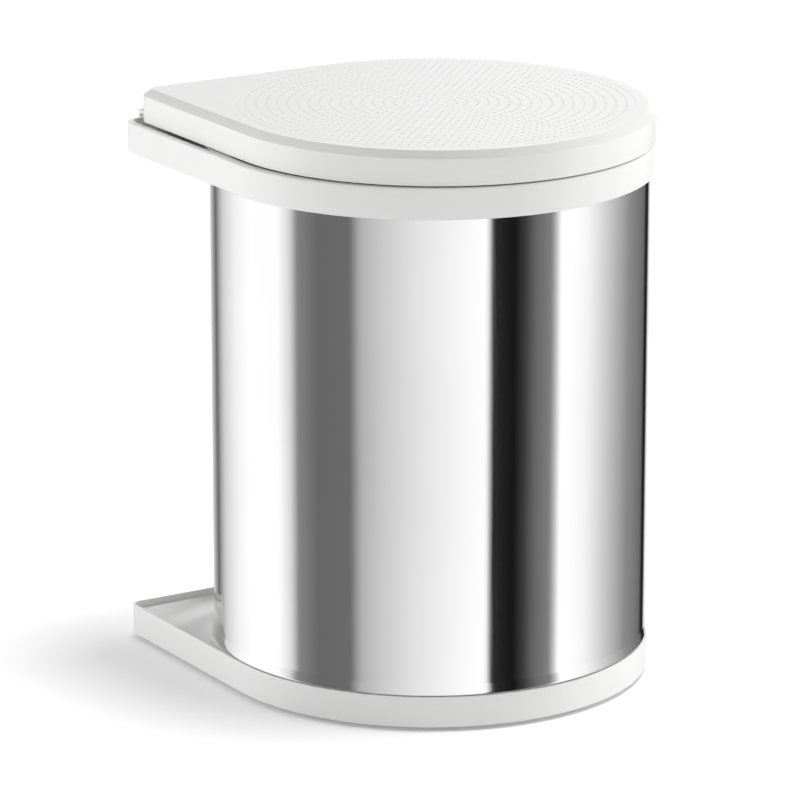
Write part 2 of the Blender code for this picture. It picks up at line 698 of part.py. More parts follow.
def wall_screws(name, spots, parent, material):
    """Screws through a flange into the wall plate."""
    length = ARM + SEAT + PLATE
    placed = [across(screw(length), FLANGE_FRONT + SEAT, y, z) for y, z in spots]
    screws(name, placed, parent, material)


def upper_pivot_pin(parent, material):
    """Headed pin through the arm and the ring's bush, grooved for its clip."""
    clip_low = RING_BOTTOM - 2 * SEAT - CLIP
    neck = PIN_RADIUS - CLIP_GROOVE
    head_low = UPPER_ARM_TOP + SEAT
    profile = (
        (PIN_RADIUS - PIN_CHAMFER_IN, clip_low - PIN_PAST_CLIP),
        (PIN_RADIUS, clip_low - PIN_PAST_CLIP + PIN_CHAMFER_UP),
        (PIN_RADIUS, clip_low - SEAT),
        (neck, clip_low - SEAT),
        (neck, clip_low + CLIP + SEAT),
        (PIN_RADIUS, clip_low + CLIP + SEAT),
        (PIN_RADIUS, head_low),
        (PIN_HEAD, head_low),
        (PIN_HEAD, head_low + PIN_HEAD_EDGE),
        (PIN_HEAD_FACE, head_low + PIN_HEAD_HEIGHT),
    )
    piece("upper_pivot_pin", rod(profile, PIVOT), parent, material)


def pivot_clip(parent, material):
    """Spring clip in the pin's groove, open on one side."""
    low = RING_BOTTOM - 2 * SEAT - CLIP
    inner = PIN_RADIUS - CLIP_GROOVE + SEAT
    levels = []
    for k in range(CLIP_STEPS + 1):
        a = math.radians(CLIP_MOUTH_DEG / 2 + (360 - CLIP_MOUTH_DEG) * k / CLIP_STEPS)
        towards = Vector((math.cos(a), math.sin(a), 0))
        section = ((inner, low), (CLIP_RADIUS, low), (CLIP_RADIUS, low + CLIP), (inner, low + CLIP))
        levels.append([PIVOT + towards * r + Vector((0, 0, z)) for r, z in section])
    piece("pivot_clip", levels, parent, material)


def lower_pivot_pin(parent, material):
    """Pin riveted into the lower arm, with a collar that carries the bin's weight."""
    collar = ARM + SEAT
    profile = (
        (PIN_RADIUS, SEAT),
        (PIN_RADIUS, collar),
        (PIN_HEAD, collar),
        (PIN_HEAD, collar + COLLAR_HEIGHT),
        (PIN_RADIUS, collar + COLLAR_HEIGHT),
        (PIN_RADIUS, DECK_BOTTOM - 2 * SEAT - PIN_CHAMFER_UP),
        (PIN_RADIUS - PIN_CHAMFER_IN, DECK_BOTTOM - 2 * SEAT),
    )
    piece("lower_pivot_pin", rod(profile, PIVOT), parent, material)


def thrust_washer(parent, material):
    """Slippery washer between the pin's collar and the tray's boss."""
    low = ARM + COLLAR_HEIGHT + 2 * SEAT
    inner = PIN_RADIUS + SEAT
    outer = WASHER_RADIUS
    profile = ((inner, low), (outer, low), (outer, low + WASHER), (inner, low + WASHER))
    piece("thrust_washer", rod(profile, PIVOT), parent, material, ring=True)


def lid_hinge_bracket(parent, material):
    """Folded bracket on the plate with two ears for the lid's pin."""
    half = HINGE_WIDTH / 2 + EAR_GAP + EAR + BRACKET_MARGIN
    low = (FLANGE_BACK, HINGE_Y - half, HINGE.z + EAR_RISE - BRACKET_HEIGHT)
    high = (FLANGE_FRONT, HINGE_Y + half, HINGE.z + EAR_RISE)
    bracket = piece("lid_hinge_bracket", block(low, high), parent, material)
    for side in (-1, 1):
        inner = HINGE_Y + side * (HINGE_WIDTH / 2 + EAR_GAP)
        outer = inner + side * EAR
        ear_low = (FLANGE_BACK + ARM / 2, min(inner, outer), HINGE.z - EAR_DROP)
        ear_high = (HINGE.x + EAR_FRONT, max(inner, outer), HINGE.z + EAR_RISE - SEAT)
        join(bracket, block(ear_low, ear_high))
    hole = HINGE_PIN + RUN
    reach = 2 * half + 2 * PAST
    bore = along(rod(((hole, 0), (hole, reach))), (HINGE.x, HINGE_Y - half - PAST, HINGE.z), (0, 1, 0))
    cut(bracket, bore)
    for y, z in hinge_screw_spots():
        bore = rod(((SCREW_HOLE, 0), (SCREW_HOLE, ARM + 2 * PAST)))
        cut(bracket, across(bore, FLANGE_FRONT + PAST, y, z))


def lid_hinge_pin(parent, material):
    """Pin through both ears and the lid's hinge leaf, headed at one end."""
    half = HINGE_WIDTH / 2 + EAR_GAP + EAR + SEAT
    profile = (
        (HINGE_PIN_HEAD, -HINGE_PIN_HEAD_HEIGHT),
        (HINGE_PIN_HEAD, 0),
        (HINGE_PIN, 0),
        (HINGE_PIN, 2 * half + HINGE_PIN_PAST),
        (HINGE_PIN - PIN_CHAMFER_UP, 2 * half + HINGE_PIN_PAST + PIN_CHAMFER_UP),
    )
    pin = along(rod(profile), (HINGE.x, HINGE_Y - half, HINGE.z), (0, 1, 0))
    piece("lid_hinge_pin", pin, parent, material)


def lid_boss_places():
    """Three bosses under the lid that take the hinge leaf's screws."""
    near = HINGE.x + LEAF_REACH - LID_BOSS_NEAR
    far = HINGE.x + LEAF_REACH - LID_BOSS_FAR
    return [
        (near, HINGE_Y - LID_BOSS_SPREAD),
        (near, HINGE_Y + LID_BOSS_SPREAD),
        (far, HINGE_Y),
    ]


def lid_shell(parent, material):
    """Shallow corner lid with a chamfered edge, hollow below, notched for its hinge and the strap."""
    corner_limit = LID_CORNER - LID_CORNER_LEAST
    levels = [
        outline(LID_OUTLINE, min(LID_WALL + LID_CHAMFER_IN, corner_limit), LID_INSIDE),
        outline(LID_OUTLINE, LID_WALL, TOTAL_HEIGHT - LID_CHAMFER_UP - LID_KNEE_DROP),
        outline(LID_OUTLINE, LID_WALL, LID_BOTTOM),
        outline(LID_OUTLINE, 0, LID_BOTTOM),
        outline(LID_OUTLINE, 0, TOTAL_HEIGHT - LID_CHAMFER_UP),
        outline(LID_OUTLINE, LID_CHAMFER_IN, TOTAL_HEIGHT),
    ]
    lid = piece("lid_shell", levels, parent, material)
    skirt = -LID_SIDE
    half = HINGE_WIDTH / 2 + EAR_GAP
    low = (skirt - PAST, HINGE_Y - half, LID_BOTTOM - PAST)
    across_lid = HINGE_Y + half - LID_SHIFT
    skirt_inside = LID_SHIFT - math.sqrt((LID_RADIUS - LID_WALL) ** 2 - across_lid**2)
    cut(lid, block(low, (skirt_inside + SEAT, HINGE_Y + half, HINGE.z + BARREL)))
    strap_high = PIVOT.y + STRAP_EYE
    low = (skirt - PAST, strap_high - STRAP_WIDTH - STRAP_NOTCH_SIDE, LID_BOTTOM - PAST)
    high = (skirt + LID_WALL + SEAT, strap_high + STRAP_NOTCH_SIDE, UPPER_ARM_TOP + STRAP_NOTCH_TOP)
    cut(lid, block(low, high))
    root = LID_INSIDE + LID_TOP / 2
    leaf_top = HINGE.z + LEAF / 2 + SEAT
    for place in lid_boss_places():
        join(lid, rod(((LID_BOSS, leaf_top), (LID_BOSS, root)), place))
        cut(lid, rod(((SCREW_HOLE, leaf_top - PAST), (SCREW_HOLE, LID_INSIDE - SEAT)), place))
    socket = (PIVOT.x + FOLLOWER_REACH, PIVOT.y)
    join(lid, rod(((SOCKET_RADIUS, LID_INSIDE - SOCKET_DEPTH), (SOCKET_RADIUS, root)), socket))
    bore = FOLLOWER_RADIUS + SEAT
    cut(lid, rod(((bore, LID_INSIDE - SOCKET_DEPTH - PAST), (bore, LID_INSIDE - SEAT)), socket))


def lid_hinge_leaf(parent, material):
    """Leaf screwed under the lid, with a barrel round the hinge pin."""
    half = HINGE_WIDTH / 2
    barrel = along(
        rod(((BARREL, 0), (BARREL, HINGE_WIDTH))), (HINGE.x, HINGE_Y - half, HINGE.z), (0, 1, 0)
    )
    leaf = piece("lid_hinge_leaf", barrel, parent, material)
    low = (HINGE.x, HINGE_Y - half + LEAF_SIDE, HINGE.z - LEAF / 2)
    high = (HINGE.x + LEAF_REACH, HINGE_Y + half - LEAF_SIDE, HINGE.z + LEAF / 2)
    join(leaf, block(low, high))
    hole = HINGE_PIN + RUN
    reach = HINGE_WIDTH + 2 * PAST
    start = (HINGE.x, HINGE_Y - half - PAST, HINGE.z)
    cut(leaf, along(rod(((hole, 0), (hole, reach))), start, (0, 1, 0)))
    for place in lid_boss_places():
        cut(leaf, rod(((SCREW_HOLE, HINGE.z - LEAF - PAST), (SCREW_HOLE, HINGE.z + LEAF)), place))


def lid_screws(parent, material):
    height = HINGE.z - LEAF / 2 - SEAT
    length = LID_INSIDE - height - LID_SCREW_SHORT
    placed = [along(screw(length), (x, y, height), (0, 0, 1)) for x, y in lid_boss_places()]
    screws("lid_screw", placed, parent, material)


def cam_follower(parent, material):
    """Round-nosed peg in the lid's socket that rides on the cam."""
    tip = follower_height(0)
    r = FOLLOWER_RADIUS
    turns = np.radians(range(NOSE_STEP_DEG, 91, NOSE_STEP_DEG))
    nose = [(r * math.sin(a), tip + r * (1 - math.cos(a))) for a in turns]
    levels = rod([*nose, (r, LID_INSIDE - 3 * SEAT)], (PIVOT.x + FOLLOWER_REACH, PIVOT.y), FOLLOWER_SIDES)
    piece("cam_follower", levels, parent, material)


def build():
    for old in list(bpy.data.objects):
        bpy.data.objects.remove(old)
    shift = Vector((BIN_AXIS_X, 0, 0))
    bracket = frame("bracket_frame", shift)
    swing = frame("swing_axis", PIVOT + shift)
    lift = frame("lid_axis", HINGE + shift)

    white = (0.86, 0.86, 0.85)
    ring_white = finish("ring_plastic", white, 0.4)
    tray_white = finish("tray_plastic", white, 0.4)
    lid_white = finish("lid_plastic", white, 0.35)
    grey_plastic = finish("bucket_plastic", (0.22, 0.23, 0.24), 0.5)
    nylon = finish("nylon", (0.75, 0.74, 0.7), 0.45)
    polished = finish("polished_steel", (0.82, 0.82, 0.83), 0.08, 1.0)
    coated = finish("coated_steel", (0.8, 0.8, 0.79), 0.4, 0.0)
    zinc = finish("zinc_steel", (0.62, 0.63, 0.65), 0.35, 1.0)

    wall_plate(bracket, coated)
    upper_arm(bracket, coated)
    lower_arm(bracket, coated)
    wall_screws("arm_screw", screw_rows(), bracket, zinc)
    lid_hinge_bracket(bracket, coated)
    wall_screws("hinge_screw", hinge_screw_spots(), bracket, zinc)
    lid_hinge_pin(bracket, zinc)
    upper_pivot_pin(bracket, zinc)
    pivot_clip(bracket, zinc)
    lower_pivot_pin(bracket, zinc)
    thrust_washer(bracket, nylon)

    base_tray(swing, tray_white)
    steel_sleeve(swing, polished)
    top_ring(swing, ring_white)
    inner_bucket(swing, grey_plastic)
    lift_cam(swing, nylon)
    cam_screws(swing, zinc)
    upper_bush(swing, nylon)
    lower_bush(swing, nylon)

    lid_shell(lift, lid_white)
    lid_hinge_leaf(lift, coated)
    lid_screws(lift, zinc)
    cam_follower(lift, nylon)


build()
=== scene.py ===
"""Looks of the swing-out cabinet bin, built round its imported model.

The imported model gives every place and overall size. The moulded parts, the steel sleeve and the screws
are rebuilt here with round edges and fine detail; the bracket's sheet parts, pins and bushes keep their
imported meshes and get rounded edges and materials. Metres, +Z up.
"""

import math

import bmesh
import bpy
import numpy as np
from mathutils import Matrix, Vector
from mathutils.geometry import delaunay_2d_cdt


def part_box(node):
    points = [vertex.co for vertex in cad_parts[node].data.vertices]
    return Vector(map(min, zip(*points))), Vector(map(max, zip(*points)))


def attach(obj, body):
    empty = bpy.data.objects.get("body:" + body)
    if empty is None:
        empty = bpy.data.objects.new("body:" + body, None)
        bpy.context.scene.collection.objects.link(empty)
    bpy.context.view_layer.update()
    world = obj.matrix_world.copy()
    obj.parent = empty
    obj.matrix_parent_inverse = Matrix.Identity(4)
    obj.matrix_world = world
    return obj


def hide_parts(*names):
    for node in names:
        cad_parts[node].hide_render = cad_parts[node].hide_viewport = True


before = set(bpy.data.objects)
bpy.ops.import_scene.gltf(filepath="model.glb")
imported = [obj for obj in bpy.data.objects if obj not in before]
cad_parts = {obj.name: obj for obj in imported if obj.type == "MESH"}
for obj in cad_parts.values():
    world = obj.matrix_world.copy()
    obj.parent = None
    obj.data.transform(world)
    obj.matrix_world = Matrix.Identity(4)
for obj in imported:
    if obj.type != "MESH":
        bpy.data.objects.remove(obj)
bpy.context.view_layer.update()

MM = 0.001
SEAT = 0.3 * MM  # gap between parts that touch
PAST = 5 * MM  # how far a cutter runs past the face that it opens
CAP_IN = 3 * MM  # from an outline's lower edge to its flat cap
CAP_STEP = 1.4 * MM  # from the last edge of an outline's top to its flat cap
POLE = 2 * MM  # radius of the flat cap in the middle of a turned piece

# Fineness
ROUND_SIDES = 240
SLEEVE_SIDES = 360
HOLE_SIDES = 40
SCREW_SIDES = 32
PIP_SIDES = 8
ARC_STEP_DEG = 12
SHARP_DEG = 24
BEVEL_DEG = 40

# Places and overall sizes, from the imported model
LID_LOW, LID_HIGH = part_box("lid_shell")
RING_LOW, RING_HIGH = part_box("top_ring")
TRAY_LOW, TRAY_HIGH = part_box("base_tray")
SLEEVE_LOW, SLEEVE_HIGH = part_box("steel_sleeve")
BUCKET_LOW, BUCKET_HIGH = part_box("inner_bucket")
PIN_LOW, PIN_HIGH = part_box("upper_pivot_pin")
LEAF_LOW, LEAF_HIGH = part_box("lid_hinge_leaf")
STRAP_LOW, STRAP_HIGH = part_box("upper_arm")
FOLLOWER_LOW, FOLLOWER_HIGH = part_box("cam_follower")

AXIS = Vector(((SLEEVE_LOW.x + SLEEVE_HIGH.x) / 2, 0, 0))
PIVOT = Vector(((PIN_LOW.x + PIN_HIGH.x) / 2, (PIN_LOW.y + PIN_HIGH.y) / 2, 0))
FOLLOWER = Vector(((FOLLOWER_LOW.x + FOLLOWER_HIGH.x) / 2, PIVOT.y, 0))

# Corner outlines
WALL_SIDE = AXIS.x - RING_LOW.x
WALL_SIDE_FLAT = 20 * MM
FLAT_END = 20 * MM
RING_RADIUS = RING_HIGH.x - AXIS.x
RING_CORNER = 12 * MM
TRAY_RADIUS = TRAY_HIGH.x - AXIS.x
TRAY_CORNER = 6 * MM
LID_SIDE = AXIS.x - LID_LOW.x
LID_SHIFT = (LID_HIGH.x - AXIS.x - LID_SIDE) / 2
LID_RADIUS = LID_SIDE + LID_SHIFT
LID_CORNER = 13 * MM

# Lid
LID_TOP = LID_HIGH.z
LID_WALL = 2.2 * MM
LID_INSIDE = LID_TOP - 2.5 * MM
LID_CHAMFER_UP = 4.2 * MM
LID_CHAMFER_IN = 5.1 * MM
PIP_HEIGHT = 0.28 * MM
PIP_RADIUS = 0.95 * MM
PIP_PITCH = 6.2 * MM
PIP_RINGS = 18
PIPS_ADDED = 8  # by each ring to the one inside it
PIP_PROFILE = ((0.72, 0.58), (0.36, 0.92))  # shares of its radius and height
LID_FLAT = LID_TOP - PIP_HEIGHT  # the top's plain face, below its pips
STEP_RADIUS = 116.6 * MM
STEP_DEPTH = 0.12 * MM
STEP_HALF = 0.25 * MM
LID_BOSS = 5 * MM
LID_SCREW_HOLE = 1.9 * MM
SOCKET = 7 * MM
SOCKET_DEPTH = 9 * MM
EAR_GAP = 0.5 * MM
LEAF_PLATE_RISE = 1.8 * MM  # top of the hinge leaf's plate, above the middle of the leaf
STRAP_NOTCH_SIDE = 2 * MM
STRAP_NOTCH_TOP = 1.5 * MM
STRAP_NOTCH_END = 10 * MM  # past the pivot

# Ring and tray
RING_EDGE = 1.1 * MM
RING_RIM = 3.3 * MM  # left round the corner trough
WALL = 2.2 * MM
DECK = 2.5 * MM
RING_TROUGH = 5.5 * MM
LEDGE_DEPTH = 4.5 * MM
GROOVE_SLACK = 0.4 * MM
LEDGE_WIDTH = 4.7 * MM
TRAY_RECESS = 4 * MM
TRAY_RIM = 1.3 * MM
TRAY_HEIGHT = 18.5 * MM
TRAY_TOP = TRAY_LOW.z + TRAY_HEIGHT
TRAY_DECK = TRAY_TOP - TRAY_RECESS
SPIGOT = 1.6 * MM
BOSS_BORE = 5.9 * MM
BOSS_RADIUS = 8.9 * MM

# Sleeve
SLEEVE_WALL = 0.8 * MM
BEAD_OUT = 1.2 * MM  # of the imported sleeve's bead, past its wall
FLARE_OUT = 0.6 * MM
FLARE_HEIGHT = 6.5 * MM
SLEEVE_RADIUS = SLEEVE_HIGH.x - AXIS.x - BEAD_OUT

# Bucket
BUCKET_WALL = 1.6 * MM
BUCKET_RIM = 2 * MM
BUCKET_TAPER = 8.5 * MM
GRIP_WIDTH = 84 * MM
GRIP_HEIGHT = 18 * MM
GRIP_DROP = 24 * MM

# Screws
SCREW_SHANK = 1.6 * MM
SCREW_HEAD_HEIGHT = 2 * MM
THREAD_PITCH = 0.8 * MM
THREAD_DEPTH = 0.3 * MM
RECESS_DEPTH = 1.3 * MM
RECESS_ARM = 0.42 * MM
RECESS_REACH = 1.7 * MM

FACING = np.radians(np.arange(-180, 180, 0.25))
CORNER_FINE_DEG = np.arange(-141, -129, 0.25)
OUTLINE_ANGLES = np.radians(np.union1d(np.arange(-180, 180, 1.5), CORNER_FINE_DEG))


def corner_discs(radius, corner):
    """A round side, a square corner at -X -Y, and the far end of the flat wall side."""
    return [
        (0, 0, radius),
        (corner - WALL_SIDE, corner - radius, corner),
        (FLAT_END - WALL_SIDE, WALL_SIDE_FLAT, FLAT_END),
    ]


RING_OUTLINE = corner_discs(RING_RADIUS, RING_CORNER)
TRAY_OUTLINE = corner_discs(TRAY_RADIUS, TRAY_CORNER)
LID_OUTLINE = [
    (LID_SHIFT, LID_SHIFT, LID_RADIUS),
    (LID_CORNER - LID_SIDE, LID_CORNER - LID_SIDE, LID_CORNER),
]


# Outlines and profiles


def outline(discs, inset, height):
    """Points round the hull of the discs, moved in by inset."""
    reach = np.max([x * np.cos(FACING) + y * np.sin(FACING) + r - inset for x, y, r in discs], axis=0)
    points = []
    for angle in OUTLINE_ANGLES:
        towards = np.cos(FACING - angle)
        ahead = towards > 0.01
        distance = float(np.min(reach[ahead] / towards[ahead]))
        points.append(AXIS + Vector((distance * math.cos(angle), distance * math.sin(angle), height)))
    return points


def circle(radius, height, centre=AXIS, sides=ROUND_SIDES):
    """Points round an upright axis at centre."""
    x, y = centre[:2]
    turns = [2 * math.pi * k / sides for k in range(sides)]
    return [Vector((x + radius * math.cos(a), y + radius * math.sin(a), height)) for a in turns]


def turned(path, centre=AXIS, sides=ROUND_SIDES):
    """Levels of a turned piece through (radius, height) points."""
    return [circle(radius, height, centre, sides) for radius, height in path]


def fillet(corners, closed=False):
    """A path through (across, up, radius) corners, with each corner turned through an arc."""
    path = []
    count = len(corners)
    for k, (x, y, radius) in enumerate(corners):
        ends = not closed and k in (0, count - 1)
        if radius == 0 or ends:
            path.append((x, y))
            continue
        here = Vector((x, y))
        before = (Vector(corners[k - 1][:2]) - here).normalized()
        after = (Vector(corners[(k + 1) % count][:2]) - here).normalized()
        half = before.angle(after) / 2
        centre = here + (before + after).normalized() * radius / math.sin(half)
        start = here + before * radius / math.tan(half) - centre
        end = here + after * radius / math.tan(half) - centre
        first = math.atan2(start.y, start.x)
        turn = (math.atan2(end.y, end.x) - first + math.pi) % (2 * math.pi) - math.pi
        steps = max(2, math.ceil(abs(math.degrees(turn)) / ARC_STEP_DEG))
        for step in range(steps + 1):
            a = first + turn * step / steps
            path.append((centre.x + radius * math.cos(a), centre.y + radius * math.sin(a)))
    return path


def moved_in(discs, path):
    """Levels of a moulding through (inset, height) points."""
    return [outline(discs, inset, height) for inset, height in path]


def along(levels, origin, direction):
    """Levels drawn round the Z axis, turned so that +Z points in direction, from origin."""
    turn = Vector((0, 0, 1)).rotation_difference(Vector(direction)).to_matrix().to_4x4()
    placed = Matrix.Translation(Vector(origin)) @ turn
    return [[placed @ point for point in level] for level in levels]


def block(low, high):
    """Levels of a box between two opposite corners."""
    corners = ((low[0], low[1]), (high[0], low[1]), (high[0], high[1]), (low[0], high[1]))
    return [[Vector((x, y, z)) for x, y in corners] for z in (low[2], high[2])]


def rounded(half_x, half_y, corner, steps=8):
    """Outline of a rectangle with round corners, about its middle."""
    points = []
    for k, (sx, sy) in enumerate(((1, 1), (-1, 1), (-1, -1), (1, -1))):
        for step in range(steps + 1):
            a = math.pi / 2 * (k + step / steps)
            x = sx * (half_x - corner) + corner * math.cos(a)
            points.append((x, sy * (half_y - corner) + corner * math.sin(a)))
    return points


# Solids


def add_levels(mesh, levels, ring=False):
    """Adds one closed solid through the levels: capped at both ends, or closed back on itself."""
    rows = [[mesh.verts.new(point) for point in level] for level in levels]
    count = len(rows[0])
    last = len(rows) if ring else len(rows) - 1
    for row in range(last):
        low, high = rows[row], rows[(row + 1) % len(rows)]
        for k in range(count):
            mesh.faces.new((low[k], low[(k + 1) % count], high[(k + 1) % count], high[k]))
    if not ring:
        mesh.faces.new(rows[0][::-1])
        mesh.faces.new(rows[-1])


def solid(name, *parts, ring=False):
    """An object of one or more closed solids, each given by its levels."""
    mesh = bmesh.new()
    for levels in parts:
        add_levels(mesh, levels, ring)
    bmesh.ops.recalc_face_normals(mesh, faces=mesh.faces)
    made = bpy.data.objects.new(name, bpy.data.meshes.new(name))
    mesh.to_mesh(made.data)
    mesh.free()
    bpy.context.scene.collection.objects.link(made)
    return made


def combine(target, guide, operation):
    """Adds a Boolean of the guide to target, which settle carries out."""
    guide.hide_render = True
    modifier = target.modifiers.new(operation.title(), "BOOLEAN")
    modifier.operation = operation
    modifier.solver = "EXACT"
    modifier.object = guide
    return guide


def cut(target, *parts, ring=False):
    return combine(target, solid(f"{target.name}_cut", *parts, ring=ring), "DIFFERENCE")


def join(target, *parts, ring=False):
    return combine(target, solid(f"{target.name}_add", *parts, ring=ring), "UNION")


def settle(target):
    """Replaces the mesh with what its Booleans make, and removes their guides."""
    guides = [m.object for m in target.modifiers]
    inner = [m.object for guide in guides for m in guide.modifiers]
    bpy.context.view_layer.update()
    evaluated = target.evaluated_get(bpy.context.evaluated_depsgraph_get())
    made = bpy.data.meshes.new_from_object(evaluated)
    target.modifiers.clear()
    target.data = made
    for guide in guides + inner:
        bpy.data.objects.remove(guide)
    return target


def smooth(target):
    """Smooth shading with sharp edges kept."""
    target.data.shade_smooth()
    target.data.set_sharp_from_angle(angle=math.radians(SHARP_DEG))
    return target


def corner_area(target, discs, inset, round_radius, low, high):
    """Cuts the corner area between the round middle and the rim out of target."""
    area = cut(target, moved_in(discs, ((inset, low), (inset, high))))
    cut(area, turned(((round_radius, low - PAST), (round_radius, high + PAST))))
    return area


def placed(piece, body, slot, material, *nodes):
    """A finished piece on its body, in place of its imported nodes."""
    smooth(piece)
    piece.data.materials.clear()
    piece.data.materials.append(material)
    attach(piece, body)
    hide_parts(*nodes)
    return piece


# Materials


class Nodes:
    """A Principled material with object-space coordinates and short ways to add nodes."""

    def __init__(self, name, roughness, metallic=0.0):
        self.material = bpy.data.materials.new(name)
        self.material.use_nodes = True
        self.tree = self.material.node_tree
        self.shader = self.tree.nodes["Principled BSDF"]
        self.shader.inputs["Roughness"].default_value = roughness
        self.shader.inputs["Metallic"].default_value = metallic
        self.place = self.add("ShaderNodeTexCoord").outputs["Object"]

    def add(self, kind, **settings):
        node = self.tree.nodes.new(kind)
        for key, value in settings.items():
            setattr(node, key, value)
        return node

    def link(self, source, target):
        self.tree.links.new(source, target)

    def noise(self, scale, detail=4.0, stretch=(1, 1, 1)):
        """Noise at so many cells per metre."""
        mapping = self.add("ShaderNodeMapping")
        mapping.inputs["Scale"].default_value = stretch
        self.link(self.place, mapping.inputs["Vector"])
        node = self.add("ShaderNodeTexNoise")
        node.inputs["Scale"].default_value = scale
        node.inputs["Detail"].default_value = detail
        self.link(mapping.outputs["Vector"], node.inputs["Vector"])
        return node.outputs["Fac"]

    def cells(self, scale):
        """Random value for each cell of a crystal pattern."""
        node = self.add("ShaderNodeTexVoronoi")
        node.inputs["Scale"].default_value = scale
        self.link(self.place, node.inputs["Vector"])
        split = self.add("ShaderNodeSeparateColor")
        self.link(node.outputs["Color"], split.inputs["Color"])
        return split.outputs["Red"]

    def spread(self, value, low, high):
        """Value from 0.3..0.7 to low..high."""
        node = self.add("ShaderNodeMapRange")
        node.inputs["From Min"].default_value = 0.3
        node.inputs["From Max"].default_value = 0.7
        node.inputs["To Min"].default_value = low
        node.inputs["To Max"].default_value = high
        self.link(value, node.inputs["Value"])
        return node.outputs["Result"]

    def colours(self, value, low, high):
        """Base colour that goes from low to high with value."""
        ramp = self.add("ShaderNodeValToRGB")
        ramp.color_ramp.elements[0].position = 0.3
        ramp.color_ramp.elements[1].position = 0.7
        ramp.color_ramp.elements[0].color = (*low, 1)
        ramp.color_ramp.elements[1].color = (*high, 1)
        self.link(value, ramp.inputs["Fac"])
        self.link(ramp.outputs["Color"], self.shader.inputs["Base Color"])

    def roughness(self, value, low, high):
        self.link(self.spread(value, low, high), self.shader.inputs["Roughness"])

    def bumps(self, *layers):
        """Bump from (height, depth in metres) layers, one on the other."""
        normal = None
        for height, depth in layers:
            bump = self.add("ShaderNodeBump")
            bump.inputs["Distance"].default_value = depth
            bump.inputs["Strength"].default_value = 1.0
            self.link(height, bump.inputs["Height"])
            if normal:
                self.link(normal, bump.inputs["Normal"])
            normal = bump.outputs["Normal"]
        self.link(normal, self.shader.inputs["Normal"])


def moulded(name, colour, roughness, grain_depth, tint=0.012):
    """Injection-moulded plastic: faint flow tint, uneven gloss and a fine spark-eroded grain."""
    m = Nodes(name, roughness)
    low = tuple(c * (1 - tint) for c in colour)
    m.colours(m.noise(14, 3), low, colour)
    m.roughness(m.noise(22, 2), roughness * 0.95, roughness * 1.05)
    m.bumps((m.noise(12, 1), 0.00004), (m.noise(1400, 1), grain_depth))
    m.shader.inputs["IOR"].default_value = 1.49
    return m.material


def polished_steel():
    """Mirror-polished sheet: near-flat, with faint upright polishing lines."""
    m = Nodes("polished_steel", 0.07, 1.0)
    lines = m.noise(900, 2, (1, 1, 0.02))
    m.colours(m.noise(9, 2), (0.80, 0.80, 0.80), (0.83, 0.83, 0.83))
    m.roughness(lines, 0.05, 0.10)
    m.bumps((m.noise(7, 1), 0.00012), (lines, 0.0000008))
    return m.material


def zinc():
    """Zinc-plated steel with its crystal pattern."""
    m = Nodes("zinc_steel", 0.35, 1.0)
    crystals = m.cells(500)
    m.colours(crystals, (0.56, 0.57, 0.60), (0.66, 0.67, 0.70))
    m.roughness(crystals, 0.26, 0.42)
    m.bumps((m.noise(1800, 3), 0.000004))
    return m.material


def powder_coat():
    """White powder coat on sheet steel, with its orange peel."""
    m = Nodes("powder_coat", 0.42)
    m.colours(m.noise(20, 3), (0.76, 0.76, 0.75), (0.80, 0.80, 0.79))
    m.roughness(m.noise(120, 2), 0.36, 0.48)
    m.bumps((m.noise(420, 2), 0.00005))
    return m.material


def nylon():
    """Natural nylon: warm white, faintly cloudy."""
    m = Nodes("nylon", 0.45)
    m.colours(m.noise(180, 4), (0.70, 0.69, 0.64), (0.77, 0.76, 0.72))
    m.roughness(m.noise(300, 2), 0.38, 0.52)
    m.bumps((m.noise(1500, 2), 0.000008))
    return m.material


WHITE = (0.86, 0.86, 0.855)
LID_WHITE = moulded("lid_plastic", WHITE, 0.24, 0.0000006)
RING_WHITE = moulded("ring_plastic", WHITE, 0.30, 0.0000006)
TRAY_WHITE = moulded("tray_plastic", WHITE, 0.30, 0.0000006)
BUCKET_GREY = moulded("bucket_plastic", (0.042, 0.044, 0.047), 0.48, 0.00002, 0.12)
STEEL = polished_steel()
ZINC = zinc()
COATED = powder_coat()
NYLON = nylon()


# Lid


